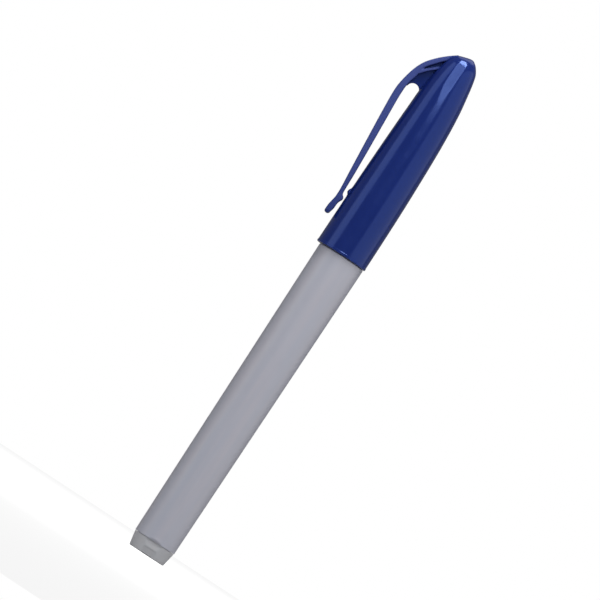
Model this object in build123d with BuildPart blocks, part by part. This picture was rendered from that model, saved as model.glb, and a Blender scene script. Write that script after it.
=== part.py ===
from build123d import *
import os

# Counterfeit detector pen, millimetres.
# +Z runs along the barrel from the tail to the tip, with the origin at the middle of the
# tail's end face. The pocket clip is on the -X side.

# Barrel and tail
shoulder_z = 82.25          # where the barrel ends and the cap's rim begins
parting_z = 3.6             # gap line between the tail plug and the barrel
barrel_tail_radius = 5.33
barrel_top_radius = 5.93
barrel_bore = 4.50
edge_break = 0.25
cut_margin = 1.0            # cutting tools start this far outside the material

plug_end_radius = 4.62
plug_parting_radius = 5.22
plug_gap = 0.06             # width of the fine line seen at the parting
plug_floor_z = 6.0          # the ink reservoir stands on this
plug_top_z = 10.0
plug_wall = 1.0

# Flats on the front and back of the tail, as distance from the axis and height: a leaning
# foot, a nearly upright band across the parting line, and a ramp out to the barrel's skin
tail_flat = [(4.22, 0), (4.66, 1.7), (4.74, 3.3), (5.45, 4.2)]

# Ink system
reservoir_radius = 3.20
film_thickness = 0.20
reservoir_top_z = 80.0
tube_radius = 0.50
tube_bore = 0.30
tube_bottom_z = 10.6
tube_top_z = 71.5

# Nib and its holder
fit = 0.02                  # parts pressed together inside the barrel
holder_bottom_z = 72.5
neck_radius = 5.22          # the cap grips this neck
neck_top_z = 94.0
nose_bottom_z = 96.2
nose_bottom_radius = 3.30
nose_top_z = 107.0
nose_top_radius = 2.15
nib_radius = 1.45
nib_depth = 6.0             # how far the nib dips into the ink reservoir
nib_shank_top_z = 110.0
nib_tip_z = 113.0
nib_tip_radius = 0.70
film_room = 0.10            # between the wrapped core and the holder's bore
reservoir_room = 1.0        # between the core's top and the holder's roof

# Cap: its bore shares the barrel's axis, and its outside stands off towards the clip
rim_gap = 0.15
running_gap = 0.08
cap_bore = neck_radius + running_gap
cap_bore_top_z = 96.6
seal_bore = 4.34
seal_bore_top_z = 118.6
dome_bore = 3.40
dome_bore_top_z = 126.0
bore_step = 0.6             # cone between the seal bore and the dome bore
dome_rise = 1.2             # height of the cone that closes the bore
rim_chamfer = 0.22

# Outer skin of the cap, as height, centre in X and radius
cap_skin = [
    (shoulder_z + rim_gap, -0.31, 6.53),
    (90.0, -0.31, 6.50),
    (98.0, -0.32, 6.42),
    (106.0, -0.36, 6.26),
    (114.0, -0.43, 6.03),
    (120.0, -0.53, 5.76),
    (125.0, -0.69, 5.43),
    (129.0, -0.80, 4.93),
    (132.0, -0.80, 4.40),
    (134.2, -0.75, 3.80),
    (135.4, -0.68, 3.08),
    (136.1, -0.50, 2.36),
    (136.6, -0.10, 1.40),
    (137.0, 0.30, 0.40),
]

# Inner sealing cap
seal_gap = 0.05
seal_bottom_z = 97.2
seal_wall = 0.80
seal_top_z = 118.2
seal_bead_z = 101.0
seal_bead = 0.14

# Pocket clip and the arch that carries it
clip_width = 3.5
clip_tip_width = 3.0
arch_top = (-2.9, 136.1)
arch_root = (-3.6, 132.0)
hinge_x = -10.12
hinge_z = 121.0
hinge_radius = 0.90
hinge_gap = 0.05
web_thickness = 0.8
pocket_web = 0.8
slot_x = -7.52
slot_z = 123.7
slot_radius = 1.5
clip_end_z = 88.9
bump_x = -6.74              # the cap's own surface there
bump_z = 94.9
bump_height = 2.3
bump_proud = 0.50
bump_width = 3.0
bump_root = 0.6             # how far the bump is rooted in the cap
bump_flat = (0.7, 1.2)      # start and end of its flat top, above bump_z
bump_tails = (0.3, 1.0)     # its slopes run this far past both ends inside the cap
bead_low = (-7.60, 92.2)
bead_peak = (-7.08, 93.5)
bead_high = (-7.72, 95.2)
lip_start = (-7.92, 89.6)
tip_low = (-8.63, clip_end_z)

os.makedirs("parts", exist_ok=True)

# Cutter for the tail's flats, which the barrel and the tail plug share
outside_x = barrel_tail_radius + cut_margin
with BuildPart() as flat_cutter:
    for turn in (90, 270):
        with BuildSketch(Plane.XZ.rotated((0, 0, turn))):
            with BuildLine():
                Polyline(
                    *tail_flat,
                    (outside_x, tail_flat[-1][1]),
                    (outside_x, -cut_margin),
                    (tail_flat[0][0], -cut_margin),
                    close=True,
                )
            make_face()
        extrude(amount=barrel_bore, both=True)

# Barrel: a tapered tube, open at both ends
with BuildPart() as barrel:
    with BuildSketch(Plane.XZ):
        with BuildLine():
            Polyline(
                (barrel_bore, parting_z),
                (barrel_tail_radius, parting_z),
                (barrel_top_radius, shoulder_z),
                (barrel_bore, shoulder_z),
                close=True,
            )
        make_face()
    revolve(axis=Axis.Z)
    rims = barrel.edges().filter_by(GeomType.CIRCLE)
    outer_rims = [edge for edge in rims if edge.radius > barrel_bore + edge_break]
    fillet(outer_rims, radius=edge_break)
    add(flat_cutter.part, mode=Mode.SUBTRACT)

barrel.part.label = "barrel"
export_step(barrel.part, "parts/barrel.step")

# Tail plug: tapered end with a hollow spigot
spigot_radius = barrel_bore - fit
with BuildPart() as tail_plug:
    with BuildSketch(Plane.XZ):
        with BuildLine():
            Polyline(
                (0, 0),
                (plug_end_radius, 0),
                (plug_parting_radius, parting_z - plug_gap),
                (spigot_radius, parting_z - plug_gap),
                (spigot_radius, plug_top_z),
                (spigot_radius - plug_wall, plug_top_z),
                (spigot_radius - plug_wall, plug_floor_z),
                (0, plug_floor_z),
                close=True,
            )
        make_face()
    revolve(axis=Axis.Z)
    end_rim = tail_plug.edges().filter_by(GeomType.CIRCLE).group_by(Axis.Z)[0]
    fillet(end_rim, radius=edge_break)
    add(flat_cutter.part, mode=Mode.SUBTRACT)

tail_plug.part.label = "tail_plug"
export_step(tail_plug.part, "parts/tail_plug.step")

# Ink reservoir: a fibre core with a socket for the nib
with BuildPart() as ink_reservoir:
    with BuildSketch(Plane.XY.offset(plug_floor_z)):
        Circle(reservoir_radius)
    extrude(amount=reservoir_top_z - plug_floor_z)
    with BuildSketch(Plane.XY.offset(reservoir_top_z)):
        Circle(nib_radius + fit)
    extrude(amount=-nib_depth - fit, mode=Mode.SUBTRACT)

ink_reservoir.part.label = "ink_reservoir"
export_step(ink_reservoir.part, "parts/ink_reservoir.step")

# Film wrapped round the fibre core
with BuildPart() as reservoir_film:
    with BuildSketch(Plane.XY.offset(plug_floor_z + fit)):
        Circle(reservoir_radius + fit + film_thickness)
        Circle(reservoir_radius + fit, mode=Mode.SUBTRACT)
    extrude(amount=reservoir_top_z - plug_floor_z - 2 * fit)

reservoir_film.part.label = "reservoir_film"
export_step(reservoir_film.part, "parts/reservoir_film.step")

# Breather tube beside the core
tube_x = (reservoir_radius + film_thickness + barrel_bore) / 2
with BuildPart() as breather_tube:
    with BuildSketch(Plane.XY.offset(tube_bottom_z)):
        with Locations((tube_x, 0)):
            Circle(tube_radius)
            Circle(tube_bore, mode=Mode.SUBTRACT)
    extrude(amount=tube_top_z - tube_bottom_z)

breather_tube.part.label = "breather_tube"
export_step(breather_tube.part, "parts/breather_tube.step")

# Nib holder: spigot in the barrel, neck for the cap, tapered nose for the nib
holder_bore = reservoir_radius + film_thickness + film_room
holder_roof_z = reservoir_top_z + reservoir_room
with BuildPart() as nib_holder:
    with BuildSketch(Plane.XZ):
        with BuildLine():
            Polyline(
                (holder_bore, holder_bottom_z),
                (spigot_radius, holder_bottom_z),
                (spigot_radius, shoulder_z + fit),
                (neck_radius, shoulder_z + fit),
                (neck_radius, neck_top_z),
                (nose_bottom_radius, nose_bottom_z),
                (nose_top_radius, nose_top_z),
                (nib_radius + fit, nose_top_z),
                (nib_radius + fit, holder_roof_z),
                (holder_bore, holder_roof_z),
                close=True,
            )
        make_face()
    revolve(axis=Axis.Z)
    top_edges = nib_holder.edges().filter_by(GeomType.CIRCLE).group_by(Axis.Z)[-1]
    nose_rim = top_edges.sort_by(SortBy.RADIUS)[-1]
    fillet(nose_rim, radius=edge_break)

nib_holder.part.label = "nib_holder"
export_step(nib_holder.part, "parts/nib_holder.step")

# Nib: porous bullet that carries the test fluid
with BuildPart() as nib:
    with BuildSketch(Plane.XZ):
        with BuildLine():
            Polyline(
                (0, nib_tip_z),
                (0, reservoir_top_z - nib_depth),
                (nib_radius, reservoir_top_z - nib_depth),
                (nib_radius, nib_shank_top_z),
                (nib_tip_radius, nib_tip_z - nib_tip_radius),
            )
            CenterArc((0, nib_tip_z - nib_tip_radius), nib_tip_radius, 0, 90)
        make_face()
    revolve(axis=Axis.Z)

nib.part.label = "nib"
export_step(nib.part, "parts/nib.step")

# Inner sealing cap: a cup over the nose, held in the cap by a bead
seal_radius = seal_bore - seal_gap
with BuildPart() as inner_cap:
    with BuildSketch(Plane.XZ):
        with BuildLine():
            Polyline(
                (seal_radius - seal_wall, seal_bottom_z),
                (seal_radius, seal_bottom_z),
                (seal_radius, seal_bead_z - seal_bead),
                (seal_radius + seal_bead, seal_bead_z),
                (seal_radius, seal_bead_z + seal_bead),
                (seal_radius, seal_top_z),
                (0, seal_top_z),
                (0, seal_top_z - seal_wall),
                (seal_radius - seal_wall, seal_top_z - seal_wall),
                close=True,
            )
        make_face()
    revolve(axis=Axis.Z)

inner_cap.part.label = "inner_cap"
export_step(inner_cap.part, "parts/inner_cap.step")

# Cap shell: eccentric domed skin, stepped bore, clip arch with cored sides, counter bump
with BuildPart() as cap_shell:
    for height, centre, radius in cap_skin:
        with BuildSketch(Plane.XY.offset(height)):
            with Locations((centre, 0)):
                Circle(radius)
    loft()
    rim = cap_shell.edges().group_by(Axis.Z)[0]
    chamfer(rim, length=rim_chamfer)

    # Arch from the dome down to the hinge, with a round seat for the clip
    with BuildSketch(Plane.XZ):
        with BuildLine():
            outer = Spline(
                arch_top,
                (-7.0, 132.6),
                (-9.9, 127.9),
                (hinge_x - hinge_radius, hinge_z),
                tangents=[(-0.8, -0.6), (0, -1)],
            )
            inner = Spline(
                (hinge_x + hinge_radius, hinge_z),
                (-9.1, 124.6),
                (-7.6, 128.2),
                arch_root,
                tangents=[(0, 1), (0.9, 0.6)],
            )
            Line(outer @ 1, inner @ 0)
            Line(inner @ 1, outer @ 0)
        make_face()
        with Locations((hinge_x, hinge_z)):
            Circle(hinge_radius + hinge_gap, mode=Mode.SUBTRACT)
    extrude(amount=clip_width / 2, both=True)

    # Thin web between the arch and the body, ending in the slot's round top
    with BuildSketch(Plane.XZ):
        with BuildLine():
            Polyline(
                (-9.3, slot_z),
                (-9.2, 125.2),
                (-7.8, 128.6),
                (-4.2, 131.8),
                (-4.2, slot_z),
                close=True,
            )
        make_face()
        with Locations((slot_x, slot_z)):
            Circle(slot_radius, mode=Mode.SUBTRACT)
    extrude(amount=web_thickness / 2, both=True)

    # Cored pockets in both sides of the arch
    for side in (-1, 1):
        with BuildSketch(Plane.XZ.offset(side * pocket_web / 2)):
            with BuildLine():
                Polyline(
                    (-7.95, 130.3),
                    (-4.2, 133.9),
                    (-4.2, 132.3),
                    (-7.4, 129.5),
                    close=True,
                )
            make_face()
        extrude(amount=side * clip_width, mode=Mode.SUBTRACT)

    # Counter bump under the clip's bead
    with BuildSketch(Plane.XZ):
        with BuildLine():
            Polyline(
                (bump_x + bump_root, bump_z - bump_tails[0]),
                (bump_x - bump_proud, bump_z + bump_flat[0]),
                (bump_x - bump_proud, bump_z + bump_flat[1]),
                (bump_x + bump_root, bump_z + bump_height + bump_tails[1]),
                close=True,
            )
        make_face()
    extrude(amount=bump_width / 2, both=True)

    # Stepped bore, with a groove for the inner cap's bead
    with BuildSketch(Plane.XZ):
        with BuildLine():
            Polyline(
                (0, shoulder_z - cut_margin),
                (cap_bore, shoulder_z - cut_margin),
                (cap_bore, cap_bore_top_z),
                (seal_bore, cap_bore_top_z),
                (seal_bore, seal_bead_z - seal_bead),
                (seal_bore + seal_bead, seal_bead_z),
                (seal_bore, seal_bead_z + seal_bead),
                (seal_bore, seal_bore_top_z),
                (dome_bore, seal_bore_top_z + bore_step),
                (dome_bore, dome_bore_top_z),
                (0, dome_bore_top_z + dome_rise),
                close=True,
            )
        make_face()
    revolve(axis=Axis.Z, mode=Mode.SUBTRACT)

cap_shell.part.label = "cap_shell"
export_step(cap_shell.part, "parts/cap_shell.step")

# Pocket clip: a springy arm with a bead that grips the cloth and a flared tip
with BuildPart() as pocket_clip:
    with BuildSketch(Plane.XZ):
        with BuildLine():
            back = Spline(
                (hinge_x - hinge_radius, hinge_z),
                (-10.6, 114.8),
                (-9.66, 103.7),
                (-8.95, 95.3),
                (-8.93, 93.0),
                (-9.34, 89.6),
                tangents=[(0, -1), (-0.1, -1)],
            )
            lip = Line(lip_start, bead_low)
            ThreePointArc(bead_low, bead_peak, bead_high)
            front = Spline(
                bead_high,
                (-7.92, 97.6),
                (-8.38, 107.0),
                (-8.88, 115.0),
                (hinge_x + hinge_radius, hinge_z),
                tangents=[(-0.05, 1), (0, 1)],
            )
            ThreePointArc(back @ 1, tip_low, lip @ 0)
            Line(front @ 1, back @ 0)
        make_face()
        with Locations((hinge_x, hinge_z)):
            Circle(hinge_radius)
    extrude(amount=clip_width / 2, both=True)
    with BuildSketch(Plane.YZ):
        with BuildLine():
            Polyline(
                (-clip_tip_width / 2, clip_end_z),
                (clip_tip_width / 2, clip_end_z),
                (clip_width / 2, hinge_z + hinge_radius),
                (-clip_width / 2, hinge_z + hinge_radius),
                close=True,
            )
        make_face()
    extrude(amount=2 * abs(hinge_x), both=True, mode=Mode.INTERSECT)

pocket_clip.part.label = "pocket_clip"
export_step(pocket_clip.part, "parts/pocket_clip.step")
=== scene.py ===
import math

import bmesh
import bpy
from mathutils import Matrix, Vector


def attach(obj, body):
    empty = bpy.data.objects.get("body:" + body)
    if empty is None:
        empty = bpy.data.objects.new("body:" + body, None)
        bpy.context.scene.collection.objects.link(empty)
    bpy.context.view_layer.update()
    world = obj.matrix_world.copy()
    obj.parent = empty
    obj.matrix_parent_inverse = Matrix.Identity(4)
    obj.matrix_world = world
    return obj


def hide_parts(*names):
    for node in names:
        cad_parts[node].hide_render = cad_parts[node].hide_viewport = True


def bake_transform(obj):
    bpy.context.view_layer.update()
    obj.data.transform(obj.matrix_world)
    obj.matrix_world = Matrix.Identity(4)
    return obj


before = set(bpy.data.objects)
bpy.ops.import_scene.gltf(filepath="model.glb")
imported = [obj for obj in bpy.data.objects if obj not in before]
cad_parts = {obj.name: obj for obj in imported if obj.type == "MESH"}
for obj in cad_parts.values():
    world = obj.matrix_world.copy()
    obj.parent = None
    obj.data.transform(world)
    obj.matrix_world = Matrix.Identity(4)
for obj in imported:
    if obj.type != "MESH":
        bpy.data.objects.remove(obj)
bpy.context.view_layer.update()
scene = bpy.context.scene
mm = 0.001  # every size below is in millimetres, and a mesh is scaled once, when it is made
print("frame loaded:", len(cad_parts), "nodes")


# shapes: outlines in millimetres, meshes made from them

def flowThrough(points, steps):
    # smooth line through given points, which may hold any number of values each
    line = []
    last = len(points) - 1
    for index in range(last):
        before = points[max(index - 1, 0)]
        a, b = points[index], points[index + 1]
        after = points[min(index + 2, last)]
        for step in range(steps):
            t = step / steps
            line.append(tuple(
                0.5 * (2 * q + (r - p) * t + (2 * p - 5 * q + 4 * r - s) * t * t
                       + (3 * q - p - 3 * r + s) * t ** 3)
                for p, q, r, s in zip(before, a, b, after)))
    line.append(tuple(points[last]))
    return line


def softOutline(corners, steps=6):
    # corners are (radius, height, rounding); each rounding is a short curve inside its corner
    outline = []
    for index, (radius, height, rounding) in enumerate(corners):
        here = Vector((radius, height))
        if rounding == 0 or index in (0, len(corners) - 1):
            outline.append((radius, height))
            continue
        back = Vector(corners[index - 1][:2]) - here
        ahead = Vector(corners[index + 1][:2]) - here
        start = here + back.normalized() * min(rounding, back.length / 2)
        end = here + ahead.normalized() * min(rounding, ahead.length / 2)
        for step in range(steps + 1):
            t = step / steps
            spot = start * (1 - t) ** 2 + here * 2 * t * (1 - t) + end * t * t
            outline.append((spot.x, spot.y))
    return outline


meshRules = {"weld": 0.002, "sharpAngle": 38, "pole": 1e-6}


def makeObject(name, bm):
    bmesh.ops.remove_doubles(bm, verts=bm.verts, dist=meshRules["weld"])
    bmesh.ops.recalc_face_normals(bm, faces=bm.faces)
    for face in bm.faces:
        face.smooth = True
    for edge in bm.edges:
        if len(edge.link_faces) == 2 and edge.calc_face_angle() > math.radians(meshRules["sharpAngle"]):
            edge.smooth = False
    bmesh.ops.scale(bm, vec=(mm, mm, mm), verts=bm.verts)
    mesh = bpy.data.meshes.new(name)
    bm.to_mesh(mesh)
    bm.free()
    made = bpy.data.objects.new(name, mesh)
    scene.collection.objects.link(made)
    return made


def turned(name, outline, segments, shape, closed=False):
    # turns an outline of (radius, height) about Z; shape(angle, radius, height, index) may
    # move each point and returns its radius, its height and how far its centre is off in X
    bm = bmesh.new()
    rings = []
    for index, (radius, height) in enumerate(outline):
        ring = []
        for step in range(segments):
            angle = math.tau * step / segments
            r, z, offset = shape(angle, radius, height, index)
            ring.append(bm.verts.new((offset + r * math.cos(angle), r * math.sin(angle), z)))
            if radius < meshRules["pole"]:
                break
        rings.append(ring)
    following = rings[1:] + rings[:1] if closed else rings[1:]
    for low, high in zip(rings, following):
        for step in range(segments):
            after = (step + 1) % segments
            if len(low) == 1:
                bm.faces.new((low[0], high[after], high[step]))
            elif len(high) == 1:
                bm.faces.new((low[step], low[after], high[0]))
            else:
                bm.faces.new((low[step], low[after], high[after], high[step]))
    return makeObject(name, bm)


barRules = {
    "quarterSteps": 4,       # faces round each quarter of a bar's section
    "fullestCorner": 0.95,   # share of half a side that a corner may take up
}


def addBar(bm, back, front, widths, rounding):
    # a bar with rounded long edges between two lines of (x, z), as wide in Y as widths says
    fullest, steps = barRules["fullestCorner"], barRules["quarterSteps"]
    rings = []
    for (bx, bz), (fx, fz), width in zip(back, front, widths):
        a, b = Vector((bx, 0, bz)), Vector((fx, 0, fz))
        across = (b - a).normalized()
        side = Vector((0, 1, 0))
        halfThick, halfWide = (b - a).length / 2, width / 2
        corner = min(rounding, halfThick * fullest, halfWide * fullest)
        middle = (a + b) / 2
        ring = []
        for quarter in range(4):
            signU = 1 if quarter in (0, 3) else -1
            signV = 1 if quarter in (0, 1) else -1
            for step in range(steps + 1):
                turn = math.radians(90 * quarter + 90 * step / steps)
                u = math.cos(turn) * corner + signU * (halfThick - corner)
                v = math.sin(turn) * corner + signV * (halfWide - corner)
                ring.append(bm.verts.new(middle + across * u + side * v))
        rings.append(ring)
    for low, high in zip(rings, rings[1:]):
        for step in range(len(low)):
            after = (step + 1) % len(low)
            bm.faces.new((low[step], low[after], high[after], high[step]))
    bm.faces.new(rings[0])
    bm.faces.new(rings[-1])


def addPlate(bm, outline, thickness):
    # a flat plate of that outline, (x, z), centred on the XZ plane
    near = [bm.verts.new((x, -thickness / 2, z)) for x, z in outline]
    far = [bm.verts.new((x, thickness / 2, z)) for x, z in outline]
    bm.faces.new(near)
    bm.faces.new(far)
    for step in range(len(outline)):
        after = (step + 1) % len(outline)
        bm.faces.new((near[step], near[after], far[after], far[step]))


def settle(made, name):
    # turns live modifiers into a plain mesh
    bpy.context.view_layer.update()
    seen = made.evaluated_get(bpy.context.evaluated_depsgraph_get())
    mesh = bpy.data.meshes.new_from_object(seen)
    mesh.name = name
    made.modifiers.clear()
    made.data = mesh
    return made


def fromFrontOrBack(angle):
    # signed angle to the nearer of the directions +Y and -Y
    return angle % math.pi - math.pi / 2


def smoothStep(low, high, value):
    t = min(max((value - low) / (high - low), 0), 1)
    return t * t * (3 - 2 * t)


def softLimit(value, limit, soft):
    # the smaller of the two, rounded off where they meet
    blend = min(max(0.5 + 0.5 * (limit - value) / soft, 0), 1)
    return limit * (1 - blend) + value * blend - soft * blend * (1 - blend)


# node trees, for materials and for repeated shapes

class Wire:
    # a socket that can be added, multiplied and so on, which puts the Math nodes in
    def __init__(self, recipe, socket):
        self.recipe = recipe
        self.socket = socket

    def sum(self, operation, first, second):
        return self.recipe.node("ShaderNodeMath", {"operation": operation}, {0: first, 1: second})

    def __add__(self, other):
        return self.sum("ADD", self, other)

    def __sub__(self, other):
        return self.sum("SUBTRACT", self, other)

    def __rsub__(self, other):
        return self.sum("SUBTRACT", other, self)

    def __mul__(self, other):
        return self.sum("MULTIPLY", self, other)

    def __abs__(self):
        return self.recipe.node("ShaderNodeMath", {"operation": "ABSOLUTE"}, {0: self})


class Recipe:
    # a node tree, where every node comes from one method
    def __init__(self, tree):
        self.tree = tree

    def node(self, kind, settings=None, sockets=None, out=0):
        made = self.tree.nodes.new(kind)
        for name, value in (settings or {}).items():
            if name == "stops":
                ramp = made.color_ramp
                while len(ramp.elements) < len(value):
                    ramp.elements.new(0.5)
                for stop, (place, shade) in zip(ramp.elements, value):
                    stop.position = place
                    stop.color = (shade, shade, shade, 1)
            else:
                setattr(made, name, value)
        for name, value in (sockets or {}).items():
            if isinstance(value, Wire):
                self.tree.links.new(value.socket, made.inputs[name])
            else:
                made.inputs[name].default_value = value
        return Wire(self, made.outputs[out])


class Finish(Recipe):
    # a material with one shader, fed by procedural patterns on the object's own coordinates
    def __init__(self, name, shaderValues):
        self.material = bpy.data.materials.new(name)
        self.material.use_nodes = True
        super().__init__(self.material.node_tree)
        self.shader = self.tree.nodes["Principled BSDF"]
        for key, value in shaderValues.items():
            self.shader.inputs[key].default_value = value
        self.place = self.node("ShaderNodeTexCoord", out=3)

    def mapped(self, stretch):
        return self.node("ShaderNodeMapping", None, {0: self.place, 3: stretch})

    def noise(self, size, detail=2.0, stretch=(1, 1, 1), roughness=0.5):
        # size is the width of one blotch, in millimetres
        return self.node("ShaderNodeTexNoise", None, {
            "Vector": self.mapped(stretch), "Scale": 1 / (size * mm), "Detail": detail,
            "Roughness": roughness})

    def axis(self, name):
        return self.node("ShaderNodeSeparateXYZ", None, {0: self.place}, out=name)

    def climb(self, value, low, high):
        # 0 below low, 1 above high, both in millimetres
        return self.node("ShaderNodeMapRange", None, {0: value, 1: low * mm, 2: high * mm})

    def ramp(self, value, stops):
        return self.node("ShaderNodeValToRGB", {"stops": stops}, {0: value})

    def mix(self, factor, first, second):
        made = self.tree.nodes.new("ShaderNodeMix")
        made.data_type = "RGBA"
        self.tree.links.new(factor.socket, made.inputs[0])
        for socket, value in ((made.inputs[6], first), (made.inputs[7], second)):
            if isinstance(value, Wire):
                self.tree.links.new(value.socket, socket)
            else:
                socket.default_value = (*value, 1)
        return Wire(self, made.outputs[2])

    def feed(self, **wires):
        for name, wire in wires.items():
            self.tree.links.new(wire.socket, self.shader.inputs[name.replace("_", " ")])

    def bump(self, height, strength, depth):
        # depth is in millimetres
        return self.node("ShaderNodeBump", None, {
            "Strength": strength, "Distance": depth * mm, "Height": height})


class Pattern(Recipe):
    # a Geometry Nodes tree that makes a repeated shape from its named inputs alone
    def __init__(self, name, inputs):
        super().__init__(bpy.data.node_groups.new(name, "GeometryNodeTree"))
        self.keys = {}
        for label, kind in inputs.items():
            socket = self.tree.interface.new_socket(label, in_out="INPUT", socket_type=kind)
            self.keys[label] = socket.identifier
        self.tree.interface.new_socket("Shape", in_out="OUTPUT", socket_type="NodeSocketGeometry")

    def given(self, label):
        return self.node("NodeGroupInput", out=label)

    def vector(self, x=0, y=0, z=0):
        return self.node("ShaderNodeCombineXYZ", None, {0: x, 1: y, 2: z})

    def close(self, instances):
        real = self.node("GeometryNodeRealizeInstances", None, {0: instances})
        smooth = self.node("GeometryNodeSetShadeSmooth", None, {0: real})
        worn = self.node("GeometryNodeSetMaterial", None, {0: smooth, 2: self.given("Material")})
        self.tree.links.new(worn.socket, self.tree.nodes.new("NodeGroupOutput").inputs[0])

    def grow(self, name, sizes, material):
        # sizes holds lengths in millimetres, as floats, and whole numbers
        made = bpy.data.objects.new(name, bpy.data.meshes.new(name))
        scene.collection.objects.link(made)
        growth = made.modifiers.new("growth", "NODES")
        growth.node_group = self.tree
        for label, size in sizes.items():
            growth[self.keys[label]] = size * mm if isinstance(size, float) else size
        growth[self.keys["Material"]] = material
        made = settle(made, name)
        bm = bmesh.new()
        bm.from_mesh(made.data)
        bmesh.ops.recalc_face_normals(bm, faces=bm.faces)
        bm.to_mesh(made.data)
        bm.free()
        return made


def scratches(finish, size, start, softness=0.04):
    # faint hairline marks along the pen, fewer as start rises towards 1
    streaks = finish.noise(size, detail=0.0, stretch=(1.0, 1.0, 0.02))
    return finish.ramp(streaks, [(0.0, 0), (start, 0), (start + softness, 1), (1.0, 1)])


# materials

capLook = {
    "deep": (0.0068, 0.0175, 0.134),
    "light": (0.0086, 0.0215, 0.152),
    "worn": (0.020, 0.038, 0.200),
    "clipSidePaintedLight": (0.042, 0.056, 0.215),   # painted light: the clip's flanks get a lighter blue in place of the light they catch, and are made rougher
    "clipSideFrom": (1.35, 1.60), "clipOutside": (-7.40, -6.95),
    "archFrom": (124.0, 136.0), "archLean": 3.2,   # up the arch the flank reaches further in
    "gleam": (0.27, 0.42, 1.0, 1), "gloss": 1.0,
    "roughness": 0.13, "clipSideRoughness": 0.22,
    "smudge": 0.10, "markRough": 0.06, "fineRough": 0.03,   # what each adds to the roughness
    "marks": 0.15,   # how far the scratches show in the colour
    "moulding": 0.010, "fineHeight": 0.03,   # height of the mould's slow waves, share of fine ones
}


def makeCapPlastic():
    finish = Finish("navyCapPlastic", {
        "IOR": 1.49, "Specular IOR Level": capLook["gloss"], "Specular Tint": capLook["gleam"]})
    tint = finish.ramp(finish.noise(9, detail=3.0, stretch=(1, 1, 0.3)), [(0.3, 0), (0.7, 1)])
    colour = finish.mix(tint, capLook["deep"], capLook["light"])
    marks = scratches(finish, 0.35, start=0.80)
    colour = finish.mix(marks * capLook["marks"], colour, capLook["worn"])
    # painted light: both broad flanks of the clip are masked here and given a lighter colour that
    # stands in for the light they catch
    lean = finish.climb(finish.axis("Z"), *capLook["archFrom"]) * (capLook["archLean"] * mm)
    outside = 1 - finish.climb(finish.axis("X") - lean, *capLook["clipOutside"])
    paintedLightFlank = outside * finish.climb(abs(finish.axis("Y")), *capLook["clipSideFrom"])
    colour = finish.mix(paintedLightFlank, colour, capLook["clipSidePaintedLight"])
    smudges = finish.ramp(finish.noise(4.5, detail=4.0, roughness=0.6), [(0.45, 0), (0.75, 1)])
    fine = finish.noise(0.12, detail=1.0)
    waves = finish.noise(3.5, detail=1.0, stretch=(1, 1, 0.25))
    rough = smudges * capLook["smudge"] + marks * capLook["markRough"] + fine * capLook["fineRough"]
    finish.feed(
        Base_Color=colour,
        Roughness=rough + paintedLightFlank * capLook["clipSideRoughness"] + capLook["roughness"],
        Normal=finish.bump(waves + fine * capLook["fineHeight"], strength=1.0,
                           depth=capLook["moulding"]))
    return finish.material


barrelLook = {
    "base": (0.402, 0.411, 0.478),
    "cool": (0.384, 0.399, 0.472),
    "warm": (0.420, 0.414, 0.472),
    "scuff": (0.50, 0.51, 0.56),
    "roughness": 0.29, "gloss": 1.0,
    "grainRough": 0.10, "cloudRough": 0.05, "markRough": -0.05,   # added to the roughness
    "clouds": 0.5, "marks": 0.12,   # how far each shows in the colour
    "grain": 0.012, "markDepth": 0.15,   # height of the grain, share of it that a scratch cuts
}


def makeSatinPlastic(name, look):
    finish = Finish(name, {"IOR": 1.47, "Specular IOR Level": look["gloss"]})
    evenly = [(0.35, 0), (0.65, 1)]
    streak = finish.ramp(finish.noise(2.6, detail=2.0, stretch=(1, 1, 0.06)), evenly)
    cloud = finish.ramp(finish.noise(7, detail=3.0, stretch=(1, 1, 0.4)), evenly)
    colour = finish.mix(streak, look["cool"], look["warm"])
    colour = finish.mix(cloud * look["clouds"], colour, look["base"])
    marks = scratches(finish, 0.4, start=0.78)
    colour = finish.mix(marks * look["marks"], colour, look["scuff"])
    grain = finish.noise(0.09, detail=2.0)
    rough = grain * look["grainRough"] + cloud * look["cloudRough"] + marks * look["markRough"]
    finish.feed(
        Base_Color=colour,
        Roughness=rough + look["roughness"],
        Normal=finish.bump(grain - marks * look["markDepth"], strength=0.6, depth=look["grain"]))
    return finish.material


nibLook = {
    "dry": (0.80, 0.72, 0.52), "wet": (0.52, 0.36, 0.12),
    "wetFrom": (108.5, 112.5), "wetEdge": 1.5,   # heights between which it turns wet, unevenness
    "roughness": 0.70, "poreRough": 0.2, "wetRough": 0.25,
    "pores": 0.5, "depth": 0.03,
}


def makeNibFibre():
    finish = Finish("nibFibre", {"IOR": 1.40})
    strands = finish.noise(0.10, detail=3.0, stretch=(1, 1, 0.08))
    pores = finish.noise(0.07, detail=2.0)
    height = finish.axis("Z") + strands * (nibLook["wetEdge"] * mm)
    wetness = finish.climb(height, *nibLook["wetFrom"])
    finish.feed(
        Base_Color=finish.mix(wetness, nibLook["dry"], nibLook["wet"]),
        Roughness=(pores * nibLook["poreRough"] + nibLook["roughness"]
                   - wetness * nibLook["wetRough"]),
        Normal=finish.bump(strands + pores * nibLook["pores"], strength=0.9,
                           depth=nibLook["depth"]))
    return finish.material


plainLook = {"milkDepth": 0.4, "grainRough": 0.12, "flowRough": 0.05, "grain": 0.01}


def makePlainPlastic(name, tone, shade, roughness, milky):
    # natural, unpainted plastic of the hidden parts, with faint flow marks
    finish = Finish(name, {
        "IOR": 1.50, "Subsurface Weight": milky, "Subsurface Scale": plainLook["milkDepth"] * mm})
    flow = finish.ramp(finish.noise(3, detail=3.0, stretch=(1, 1, 0.3)), [(0.3, 0), (0.7, 1)])
    grain = finish.noise(0.08, detail=2.0)
    finish.feed(
        Base_Color=finish.mix(flow, tone, shade),
        Roughness=grain * plainLook["grainRough"] + flow * plainLook["flowRough"] + roughness,
        Normal=finish.bump(grain, strength=0.5, depth=plainLook["grain"]))
    return finish.material


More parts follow.
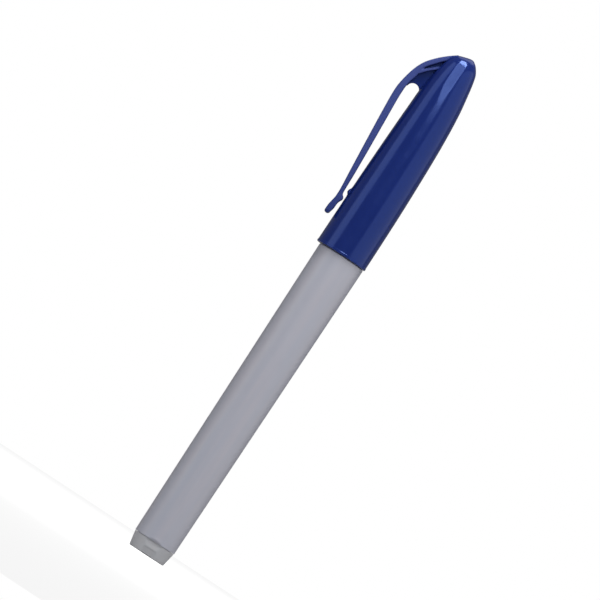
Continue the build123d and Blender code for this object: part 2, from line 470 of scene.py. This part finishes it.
reservoirLook = {
    "pale": (0.74, 0.64, 0.44), "soaked": (0.62, 0.47, 0.24),
    "roughness": 0.7, "strandRough": 0.2, "depth": 0.04,
}


def makeReservoirFibre():
    finish = Finish("reservoirFibre", {"IOR": 1.35})
    strands = finish.noise(0.08, detail=3.0, stretch=(1, 1, 0.02))
    blot = finish.ramp(finish.noise(5, detail=3.0), [(0.35, 0), (0.7, 1)])
    finish.feed(
        Base_Color=finish.mix(blot, reservoirLook["pale"], reservoirLook["soaked"]),
        Roughness=strands * reservoirLook["strandRough"] + reservoirLook["roughness"],
        Normal=finish.bump(strands, strength=0.8, depth=reservoirLook["depth"]))
    return finish.material


capPlastic = makeCapPlastic()
barrelPlastic = makeSatinPlastic("greyBarrelPlastic", barrelLook)
plugPlastic = makeSatinPlastic("greyPlugPlastic", {
    **barrelLook, "base": (0.450, 0.457, 0.484), "cool": (0.440, 0.450, 0.484),
    "warm": (0.465, 0.465, 0.490), "roughness": 0.40})
holderPlastic = makeSatinPlastic("greyHolderPlastic", {**barrelLook, "roughness": 0.34})
sealPlastic = makePlainPlastic(
    "milkySealPlastic", (0.80, 0.81, 0.82), (0.74, 0.76, 0.79), roughness=0.35, milky=0.3)
filmPlastic = makePlainPlastic(
    "reservoirFilm", (0.85, 0.86, 0.87), (0.80, 0.82, 0.84), roughness=0.20, milky=0.2)
tubePlastic = makePlainPlastic(
    "tubePlastic", (0.82, 0.83, 0.85), (0.76, 0.78, 0.80), roughness=0.30, milky=0.2)
nibFibre = makeNibFibre()
reservoirFibre = makeReservoirFibre()
print("materials made")


def wear(made, material):
    made.data.materials.clear()
    made.data.materials.append(material)


for node, material in (("nib", nibFibre), ("ink_reservoir", reservoirFibre),
                       ("reservoir_film", filmPlastic), ("breather_tube", tubePlastic),
                       ("inner_cap", sealPlastic), ("nib_holder", holderPlastic)):
    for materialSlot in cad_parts[node].material_slots:
        materialSlot.material = material


# barrel and tail plug

barrelSizes = {
    "parting": 3.6, "shoulder": 82.25,
    "tailRadius": 5.33, "topRadius": 5.93, "bore": 4.50,
    # the flats on the front and back of the tail, as distance from the axis and height
    "flat": [(4.20, 0), (4.60, 1.6), (4.82, 1.85), (4.67, 3.25), (5.45, 4.2)],
    "flatSoftness": 0.08,
    "flatReach": 1.0,   # no flat goes further round than this, in radians
    # slight swelling above each flat
    "crown": 0.07, "crownReach": 0.75, "crownWidth": 3.8, "crownLead": 0.3,
    "thinnestWall": 0.2,
    "boreEdge": 0.10, "partingEdge": 0.14, "shoulderEdge": 0.28, "mouthEdge": 0.12,
    "partingDraw": 0.02, "rowSpread": 0.001, "rowSpacing": 0.12, "tailSpread": 0.03,
    "straightTail": 4, "boreStart": 8, "boreEnd": 12,   # lengths from the tube's two ends
    "segments": 360,
}


def flatten(angle, radius, height, sizes):
    # radius of a point at that angle once the flats are cut, with a soft edge along them
    off = fromFrontOrBack(angle)
    flat = sizes["flat"]
    if height >= flat[-1][1] or abs(off) > sizes["flatReach"]:
        return radius
    for (lowReach, low), (highReach, high) in zip(flat, flat[1:]):
        if height <= high:
            break
    share = max((height - low) / (high - low), 0)
    limit = (lowReach + share * (highReach - lowReach)) / math.cos(off)
    return softLimit(radius, limit, sizes["flatSoftness"])


def makeBarrel(sizes):
    low, high = sizes["parting"], sizes["shoulder"]
    tail = sizes["tailRadius"]
    thinnest = sizes["bore"] + sizes["thinnestWall"]
    # rows close together, so that the flats have somewhere to bend
    rows = [(tail + sizes["rowSpread"] * step, low + sizes["rowSpacing"] * step, 0)
            for step in range(2, 13)]
    corners = [
        (sizes["bore"], low + sizes["boreStart"], 0), (sizes["bore"], low, sizes["boreEdge"]),
        (tail - sizes["partingDraw"], low, sizes["partingEdge"]), *rows,
        (tail + sizes["tailSpread"], low + sizes["straightTail"], 0),
        (sizes["topRadius"], high, sizes["shoulderEdge"]),
        (sizes["bore"], high, sizes["mouthEdge"]), (sizes["bore"], high - sizes["boreEnd"], 0)]

    def shape(angle, radius, height, index):
        if radius <= thinnest:
            return radius, height, 0
        across = abs(fromFrontOrBack(angle)) * radius
        top = sizes["flat"][-1][1]
        swell = 1 - smoothStep(0, sizes["crownWidth"] / 2, across)
        swell *= smoothStep(top - sizes["crownLead"], top, height)
        swell *= 1 - smoothStep(top, top + sizes["crownReach"], height)
        radius = max(flatten(angle, radius, height, sizes), thinnest)
        return radius + sizes["crown"] * swell, height, 0

    return turned("barrelTube", softOutline(corners), sizes["segments"], shape, closed=True)


barrel = makeBarrel(barrelSizes)
wear(barrel, barrelPlastic)
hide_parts("barrel")
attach(barrel, "barrel")

plugSizes = {
    "endRadius": 4.62, "partingRadius": 5.24, "top": 3.54, "spigot": 4.48, "spigotLength": 5,
    "recessRadius": 2.7, "recessDepth": 0.5, "ventRadius": 0.45, "ventDepth": 1.4,
    "ventFloorEdge": 0.05, "ventEdge": 0.08, "recessEdge": 0.12, "endEdge": 0.34,
    "partingEdge": 0.10, "spigotEdge": 0.02,
    # rows close together, so that the flats have somewhere to bend
    "rows": (0.5, 0.8, 1.1, 1.4, 1.62, 1.7, 1.78, 2.0, 2.4, 2.8, 3.1, 3.22, 3.3, 3.38),
    "topMargin": 0.01, "spigotMargin": 0.1, "recessMargin": 0.3,
    # the end edge is relieved a little in the middle of each flat
    "reliefWidth": 3.6, "reliefFade": 0.6, "reliefHeight": 0.18, "reliefInset": 0.2,
    "reliefBetween": (0.2, 1.5),
    "segments": 360,
}


def makePlug(sizes):
    slope = (sizes["partingRadius"] - sizes["endRadius"]) / sizes["top"]
    rows = [(sizes["endRadius"] + slope * height, height, 0) for height in sizes["rows"]]
    spigotTop = sizes["top"] + sizes["spigotLength"]
    corners = [
        (0, sizes["ventDepth"], 0),
        (sizes["ventRadius"], sizes["ventDepth"], sizes["ventFloorEdge"]),
        (sizes["ventRadius"], sizes["recessDepth"], sizes["ventEdge"]),
        (sizes["recessRadius"], sizes["recessDepth"], sizes["recessEdge"]),
        (sizes["recessRadius"], 0, sizes["recessEdge"]),
        (sizes["endRadius"], 0, sizes["endEdge"]), *rows,
        (sizes["partingRadius"], sizes["top"], sizes["partingEdge"]),
        (sizes["spigot"], sizes["top"], sizes["spigotEdge"]),
        (sizes["spigot"], spigotTop, 0), (0, spigotTop, 0)]
    inner = sizes["recessRadius"] + sizes["recessMargin"]
    halfWide = sizes["reliefWidth"] / 2

    def shape(angle, radius, height, index):
        high = height > sizes["top"] - sizes["topMargin"]
        hidden = high and radius < sizes["spigot"] + sizes["spigotMargin"]
        if hidden or radius < inner:
            return radius, height, 0
        radius = flatten(angle, radius, height, barrelSizes)
        across = abs(fromFrontOrBack(angle)) * radius
        middle = 1 - smoothStep(halfWide - sizes["reliefFade"], halfWide, across)
        outer = smoothStep(inner, barrelSizes["flat"][0][0] - sizes["reliefInset"], radius)
        relief = sizes["reliefHeight"] * middle * outer
        height += relief * (1 - smoothStep(*sizes["reliefBetween"], height))
        return radius, height, 0

    return turned("tailPlugEnd", softOutline(corners), sizes["segments"], shape)


plug = makePlug(plugSizes)
wear(plug, plugPlastic)
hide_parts("tail_plug")
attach(plug, "barrel")
print("barrel and tail plug made")


# cap shell

capSizes = {
    # height, centre in X and radius of the outer skin
    "skin": [
        (82.40, -0.31, 6.53), (90.0, -0.31, 6.50), (98.0, -0.32, 6.42),
        (106.0, -0.36, 6.26), (114.0, -0.43, 6.03), (120.0, -0.53, 5.76),
        (125.0, -0.69, 5.43), (129.0, -0.80, 4.93), (132.0, -0.80, 4.40),
        (134.2, -0.75, 3.80), (135.4, -0.68, 3.08), (136.1, -0.50, 2.36),
        (136.6, -0.10, 1.40), (136.95, 0.25, 0.50), (137.0, 0.32, 0.0)],
    "skinSteps": 14, "rimRounding": 0.22, "rimSteps": 6, "rimClearance": 0.05,
    "bore": 5.30, "boreTop": 96.6, "sealBore": 4.34, "sealTop": 118.6,
    "domeBore": 3.4, "domeTop": 126.0, "domeRise": 1.2, "seatHeight": 0.6,
    "domeEdge": 0.8, "seatEdge": 0.3, "sealEdge": 0.2, "mouthEdge": 0.15,
    # a fine step runs round just above the rim, on rows of its own
    "lipTop": 83.05, "lipStep": 0.06, "lipFade": 0.10, "lipDraw": 0.002,
    "lipRows": 6, "lipRowSpacing": 0.03, "lipRowsBelow": 0.12,
    "bumpLow": 94.9, "bumpPeak": 95.9, "bumpHigh": 97.1, "bumpProud": 0.50, "bumpWidth": 3.0,
    "bumpFadeIn": 0.25, "bumpFadeOut": 0.15,
    "scoopLow": 124.6, "scoopHigh": 135.8, "scoopWide": 1.08, "scoopCentre": -0.38,
    "scoopTaper": 0.35, "scoopRound": 0.20,   # shares of its height, from the point and the top
    "scoopSoftness": 0.03, "scoopSteepest": 0.2, "scoopSearch": 3,
    "segments": 300,
}


def makeCapShell(sizes):
    skin = flowThrough(sizes["skin"], sizes["skinSteps"])
    rimHeight, rimCentre, rimRadius = skin[0]
    rounding = sizes["rimRounding"]
    inner = softOutline([
        (0, sizes["domeTop"] + sizes["domeRise"], 0),
        (sizes["domeBore"], sizes["domeTop"], sizes["domeEdge"]),
        (sizes["domeBore"], sizes["sealTop"] + sizes["seatHeight"], sizes["seatEdge"]),
        (sizes["sealBore"], sizes["sealTop"], sizes["sealEdge"]),
        (sizes["sealBore"], sizes["boreTop"], sizes["sealEdge"]),
        (sizes["bore"], sizes["boreTop"], sizes["seatEdge"]),
        (sizes["bore"], rimHeight, sizes["mouthEdge"]), (rimRadius - rounding, rimHeight, 0)])
    turns = [math.radians(90 * (step + 1) / sizes["rimSteps"]) for step in range(sizes["rimSteps"])]
    rim = [(rimRadius - rounding * (1 - math.sin(turn)), rimHeight + rounding * (1 - math.cos(turn)))
           for turn in turns]
    above = [point for point in skin if point[0] > rimHeight + rounding + sizes["rimClearance"]]
    lipRows = [
        (sizes["lipTop"] - sizes["lipRowsBelow"] + sizes["lipRowSpacing"] * step,
         rimCentre, rimRadius - sizes["lipDraw"]) for step in range(sizes["lipRows"])]
    above = sorted(above + lipRows)
    outline = inner + rim + [(radius, height) for height, centre, radius in above]
    centres = [0.0] * (len(inner) - 1) + [rimCentre] * (1 + len(rim))
    centres += [centre for height, centre, radius in above]
    skinStart = len(inner)

    def shape(angle, radius, height, index):
        if index < skinStart:
            return radius, height, centres[index]
        lipTop = sizes["lipTop"]
        radius += sizes["lipStep"] * (1 - smoothStep(lipTop - sizes["lipFade"], lipTop, height))
        # counter bump on the clip's side
        away = abs(angle - math.pi) * radius
        halfWide = sizes["bumpWidth"] / 2
        side = 1 - smoothStep(halfWide - sizes["bumpFadeIn"], halfWide + sizes["bumpFadeOut"], away)
        rise = smoothStep(sizes["bumpLow"], sizes["bumpPeak"], height)
        fall = 1 - smoothStep(sizes["bumpPeak"], sizes["bumpHigh"], height)
        radius += sizes["bumpProud"] * side * rise * fall
        # a shallow leaf-shaped scoop on each broad side of the dome, round at its top
        along = (height - sizes["scoopLow"]) / (sizes["scoopHigh"] - sizes["scoopLow"])
        if 0 < along < 1:
            point = min(1, math.sqrt(along / sizes["scoopTaper"]))
            top = min(1, (1 - along) / sizes["scoopRound"])
            reach = sizes["scoopWide"] * point * math.sqrt(top * (2 - top))
            across = radius * math.cos(angle) - sizes["scoopCentre"]
            if abs(across) < sizes["scoopSearch"] * sizes["scoopWide"] and reach < radius:
                # a flat cut, turned a little so that it lies square on the skin at its own centre
                lean = sizes["scoopCentre"] / radius
                depth = math.sqrt(radius ** 2 - reach ** 2)
                facing = abs(math.sin(angle)) * math.cos(lean) + math.cos(angle) * math.sin(lean)
                limit = depth / max(facing, sizes["scoopSteepest"])
                radius = softLimit(radius, limit, sizes["scoopSoftness"])
        return radius, height, centres[index]

    return turned("capShell", outline, sizes["segments"], shape)


capShell = makeCapShell(capSizes)
wear(capShell, capPlastic)
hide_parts("cap_shell")
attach(capShell, "cap")
print("cap shell made")


# fine ribs and rings

lengthInput, countInput, materialInput = "NodeSocketFloat", "NodeSocketInt", "NodeSocketMaterial"

patternRules = {
    "lineSteps": 24, "sectionSides": 14, "ringSides": 160,
    "taperRate": 8, "endShare": 0.1,   # how soon a rib is full, and its share of that at its ends
}


def makeRibPattern():
    # lengthwise ribs, evenly round the axis, each with ends that taper away
    pattern = Pattern("ribsRoundAxis", {
        "Count": countInput, "Low Radius": lengthInput, "High Radius": lengthInput,
        "Low": lengthInput, "High": lengthInput, "Thickness": lengthInput,
        "Material": materialInput})
    line = pattern.node("GeometryNodeCurvePrimitiveLine", None, {
        0: pattern.vector(x=pattern.given("Low Radius"), z=pattern.given("Low")),
        1: pattern.vector(x=pattern.given("High Radius"), z=pattern.given("High"))})
    line = pattern.node("GeometryNodeResampleCurve", None, {
        "Curve": line, "Count": patternRules["lineSteps"]})
    along = pattern.node("GeometryNodeSplineParameter")
    nearEnd = pattern.node("ShaderNodeMath", {"operation": "MINIMUM"}, {0: along, 1: 1 - along})
    taper = pattern.node("ShaderNodeMath", {"operation": "MINIMUM"}, {
        0: nearEnd * patternRules["taperRate"] + patternRules["endShare"], 1: 1.0})
    section = pattern.node("GeometryNodeCurvePrimitiveCircle", None, {
        "Resolution": patternRules["sectionSides"], "Radius": pattern.given("Thickness")})
    rib = pattern.node("GeometryNodeCurveToMesh", None, {
        "Curve": line, "Profile Curve": section, "Scale": taper, "Fill Caps": True})
    spots = pattern.node("GeometryNodeMeshLine", None, {
        "Count": pattern.given("Count"), "Offset": (0, 0, 0)})
    share = pattern.node("ShaderNodeMath", {"operation": "DIVIDE"}, {
        0: pattern.node("GeometryNodeInputIndex"), 1: pattern.given("Count")})
    pattern.close(pattern.node("GeometryNodeInstanceOnPoints", None, {
        "Points": spots, "Instance": rib, "Rotation": pattern.vector(z=share * math.tau)}))
    return pattern


def makeRingPattern():
    # rings one above another on the axis
    pattern = Pattern("ringsUpAxis", {
        "Count": countInput, "Radius": lengthInput, "Low": lengthInput, "Spacing": lengthInput,
        "Thickness": lengthInput, "Material": materialInput})
    path = pattern.node("GeometryNodeCurvePrimitiveCircle", None, {
        "Resolution": patternRules["ringSides"], "Radius": pattern.given("Radius")})
    section = pattern.node("GeometryNodeCurvePrimitiveCircle", None, {
        "Resolution": patternRules["sectionSides"], "Radius": pattern.given("Thickness")})
    ring = pattern.node("GeometryNodeCurveToMesh", None, {"Curve": path, "Profile Curve": section})
    spots = pattern.node("GeometryNodeMeshLine", None, {
        "Count": pattern.given("Count"), "Start Location": pattern.vector(z=pattern.given("Low")),
        "Offset": pattern.vector(z=pattern.given("Spacing"))})
    pattern.close(pattern.node("GeometryNodeInstanceOnPoints", None, {
        "Points": spots, "Instance": ring}))
    return pattern


ribPattern = makeRibPattern()
ringPattern = makeRingPattern()

capRibSizes = {
    "Count": 12, "Low Radius": 5.46, "High Radius": 5.46, "Low": 88.5, "High": 96.2,
    "Thickness": 0.22}
capRibs = ribPattern.grow("capRibs", capRibSizes, capPlastic)
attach(capRibs, "cap")

noseRibSizes = {
    "Count": 6, "Low Radius": 3.10, "High Radius": 2.05, "Low": 96.6, "High": 105.6,
    "Thickness": 0.26}
noseRibs = ribPattern.grow("noseRibs", noseRibSizes, holderPlastic)
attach(noseRibs, "barrel")

neckRingSizes = {"Count": 2, "Radius": 5.08, "Low": 84.4, "Spacing": 1.6, "Thickness": 0.20}
neckRings = ringPattern.grow("neckRings", neckRingSizes, holderPlastic)
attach(neckRings, "barrel")
print("ribs and rings made:", sum(len(made.data.polygons) for made in (capRibs, noseRibs, neckRings)))


# pocket clip with its arch

clipSizes = {
    # the clip's two edges, from its tip to the dome
    "back": [(-9.33, 89.5), (-9.26, 90.95), (-9.05, 92.2), (-8.90, 93.1), (-8.87, 93.7),
             (-8.87, 94.4), (-8.90, 95.24), (-9.05, 97.1), (-9.33, 100.0), (-9.95, 107.0),
             (-10.62, 115.0), (-11.00, 120.6), (-10.86, 123.6), (-10.05, 127.4),
             (-8.85, 130.25), (-7.0, 132.6), (-4.9, 134.6), (-2.9, 136.15)],
    "front": [(-7.95, 89.5), (-7.67, 90.7), (-7.60, 92.1), (-7.36, 92.86), (-7.07, 93.5),
              (-7.24, 94.05), (-7.76, 94.76), (-7.90, 97.1), (-8.00, 100.0), (-8.38, 107.0),
              (-8.88, 115.0), (-9.22, 120.6), (-9.16, 124.1), (-8.50, 126.6),
              (-8.02, 129.25), (-6.5, 131.3), (-4.6, 133.42), (-2.7, 134.95)],
    "lowerBack": [(-8.4, 128.7), (-7.35, 129.6), (-5.6, 131.1), (-3.4, 132.9)],
    "lowerFront": [(-8.3, 127.5), (-7.0, 129.0), (-5.3, 130.55), (-3.1, 132.3)],
    "edgeSteps": 8, "rootWidth": 3.5, "tipWidth": 3.0, "rounding": 0.28,
    # the rounded end below the tip
    "tipNarrowing": 0.25, "tipDrop": 0.57, "tipTurn": 82, "tipSteps": 6, "tipTaper": 0.9,
    "lowerNarrowing": 0.05, "lowerRounding": 0.18,
    # the web, above the round top of the slot between clip and cap
    "webThickness": 0.8, "slotX": -7.52, "slotHeight": 123.7, "slotRadius": 1.5,
    "slotFrom": 4, "slotTurn": 172, "slotSteps": 16,
    "web": [(-9.4, 124.0), (-9.3, 125.6), (-8.7, 127.6), (-8.0, 130.6), (-5.3, 133.6),
            (-3.0, 135.0), (-3.0, 124.0)],
    "voxel": 0.085, "smoothing": 3, "smoothFactor": 0.5,
    "bendStart": 124.0, "bendEnd": 113.0, "bendX": -10.1,
}


def makeClip(sizes):
    back, front, lowerBack, lowerFront = [
        flowThrough(sizes[edge], sizes["edgeSteps"])
        for edge in ("back", "front", "lowerBack", "lowerFront")]
    tipHeight, rootHeight = back[0][1], sizes["slotHeight"]
    widths = []
    for x, z in back:
        share = min((z - tipHeight) / (rootHeight - tipHeight), 1)
        widths.append(sizes["tipWidth"] + share * (sizes["rootWidth"] - sizes["tipWidth"]))
    widths[0] -= sizes["tipNarrowing"]
    bm = bmesh.new()
    addBar(bm, back, front, widths, sizes["rounding"])
    # rounded end below the first station
    middle = ((back[0][0] + front[0][0]) / 2, tipHeight)
    half = (front[0][0] - back[0][0]) / 2
    tipBack, tipFront, tipWidths = [], [], []
    for step in range(sizes["tipSteps"] + 1):
        turn = math.radians(sizes["tipTurn"] - sizes["tipTurn"] * step / sizes["tipSteps"])
        reach, drop = half * math.cos(turn), sizes["tipDrop"] * math.sin(turn)
        tipBack.append((middle[0] - reach, middle[1] - drop))
        tipFront.append((middle[0] + reach, middle[1] - drop))
        tipWidths.append(widths[0] - sizes["tipTaper"] * (1 - math.cos(turn)))
    addBar(bm, tipBack, tipFront, tipWidths, sizes["rounding"])
    lowerWidths = [sizes["rootWidth"] - sizes["lowerNarrowing"]] * len(lowerBack)
    addBar(bm, lowerBack, lowerFront, lowerWidths, sizes["lowerRounding"])
    arc = []
    for step in range(sizes["slotSteps"] + 1):
        turn = math.radians(sizes["slotFrom"] + sizes["slotTurn"] * step / sizes["slotSteps"])
        arc.append((sizes["slotX"] + sizes["slotRadius"] * math.cos(turn),
                    sizes["slotHeight"] + sizes["slotRadius"] * math.sin(turn)))
    addPlate(bm, arc + sizes["web"], sizes["webThickness"])
    clip = makeObject("pocketClip", bm)
    remesh = clip.modifiers.new("fuse", "REMESH")
    remesh.mode = "VOXEL"
    remesh.voxel_size = sizes["voxel"] * mm
    remesh.use_smooth_shade = True
    smooth = clip.modifiers.new("soften", "SMOOTH")
    smooth.iterations = sizes["smoothing"]
    smooth.factor = sizes["smoothFactor"]
    return settle(clip, "pocketClip")


clip = makeClip(clipSizes)
wear(clip, capPlastic)
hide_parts("pocket_clip")
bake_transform(clip)
print("clip made:", len(clip.data.polygons), "faces")


# floor, light and camera

stageSizes = {
    "floorRadius": 1.2, "floorSides": 96, "floorShade": 0.5, "floorRoughness": 0.9,
    "floorGloss": 0.1, "floorGlow": 0.8,
}


def makeFloor(sizes):
    bm = bmesh.new()
    bmesh.ops.create_circle(
        bm, cap_ends=True, radius=sizes["floorRadius"], segments=sizes["floorSides"])
    mesh = bpy.data.meshes.new("floor")
    bm.to_mesh(mesh)
    bm.free()
    floor = bpy.data.objects.new("floor", mesh)
    scene.collection.objects.link(floor)
    shade = sizes["floorShade"]
    finish = Finish("paleFloor", {
        "Base Color": (shade, shade, shade, 1), "Roughness": sizes["floorRoughness"],
        "Specular IOR Level": sizes["floorGloss"], "Emission Strength": sizes["floorGlow"]})
    # pale to look at, dim as a lamp
    finish.feed(Emission_Color=finish.mix(finish.node("ShaderNodeLightPath"), (0, 0, 0), (1, 1, 1)))
    floor.data.materials.append(finish.material)


makeFloor(stageSizes)

lightTarget = Vector((0, 0, 0.0685))   # halfway up the pen, in metres

lights = {
    # azimuth is 0 on the camera's side and grows to the right; sizes and distance in metres
    "overhead": {
        "azimuth": 4, "elevation": 68, "distance": 0.50, "wide": 0.18, "tall": 0.18, "power": 1.6},
    "frontTop": {
        "azimuth": 1, "elevation": 35, "distance": 0.62, "wide": 0.27, "tall": 0.42, "power": 1.08},
    "leftStrip": {
        "azimuth": -63, "elevation": 12, "distance": 0.80, "wide": 0.44, "tall": 0.95, "power": 1.28},
    "rightPanel": {
        "azimuth": 73, "elevation": 12, "distance": 0.70, "wide": 1.20, "tall": 0.85, "power": 1.85},
    "back": {
        "azimuth": 180, "elevation": 62, "distance": 0.9, "wide": 0.8, "tall": 0.5, "power": 1.0},
}


def placeLight(name, values):
    data = bpy.data.lights.new(name, "AREA")
    data.shape = "RECTANGLE"
    data.size, data.size_y = values["wide"], values["tall"]
    data.energy = values["power"]
    lamp = bpy.data.objects.new(name, data)
    turn, rise = math.radians(values["azimuth"]), math.radians(values["elevation"])
    away = Vector((math.sin(turn) * math.cos(rise), -math.cos(turn) * math.cos(rise), math.sin(rise)))
    lamp.location = lightTarget + away * values["distance"]
    lamp.rotation_euler = away.to_track_quat("Z", "Y").to_euler()
    scene.collection.objects.link(lamp)


for name, values in lights.items():
    placeLight(name, values)

worldLook = {"seen": 1.0, "fill": 0.18}


def makeWorld(look):
    world = bpy.data.worlds.new("studio")
    scene.world = world
    world.use_nodes = True
    recipe = Recipe(world.node_tree)
    seen = recipe.node("ShaderNodeLightPath")  # the backdrop is white, its light is dim
    strength = seen * (look["seen"] - look["fill"]) + look["fill"]
    background = world.node_tree.nodes["Background"]
    background.inputs[0].default_value = (1, 1, 1, 1)
    world.node_tree.links.new(strength.socket, background.inputs[1])


makeWorld(worldLook)
scene.view_settings.view_transform = "Standard"

cameraSizes = {
    "aim": (-2.57, 0, 68.7), "distance": 1600, "across": 138.6, "sensor": 36,
    "below": 2.2, "lean": 33.27,   # it looks up by the first, and is rolled by the second
    "nearest": 50, "furthest": 20000}


def makeCamera(sizes):
    data = bpy.data.cameras.new("camera")
    data.sensor_width = sizes["sensor"]
    data.lens = sizes["sensor"] * sizes["distance"] / sizes["across"]
    data.clip_start, data.clip_end = sizes["nearest"] * mm, sizes["furthest"] * mm
    camera = bpy.data.objects.new("camera", data)
    tilt, lean = math.radians(sizes["below"]), math.radians(sizes["lean"])
    forward = Vector((0, math.cos(tilt), math.sin(tilt)))
    penUp = Vector((0, -math.sin(tilt), math.cos(tilt)))
    penRight = Vector((1, 0, 0))
    right = penRight * math.cos(lean) + penUp * math.sin(lean)
    up = penUp * math.cos(lean) - penRight * math.sin(lean)
    turn = Matrix((right, up, -forward)).transposed().to_4x4()
    spot = Vector(sizes["aim"]) * mm - forward * sizes["distance"] * mm
    camera.matrix_world = Matrix.Translation(spot) @ turn
    scene.collection.objects.link(camera)
    scene.camera = camera


makeCamera(cameraSizes)
print("stage, light and camera made")
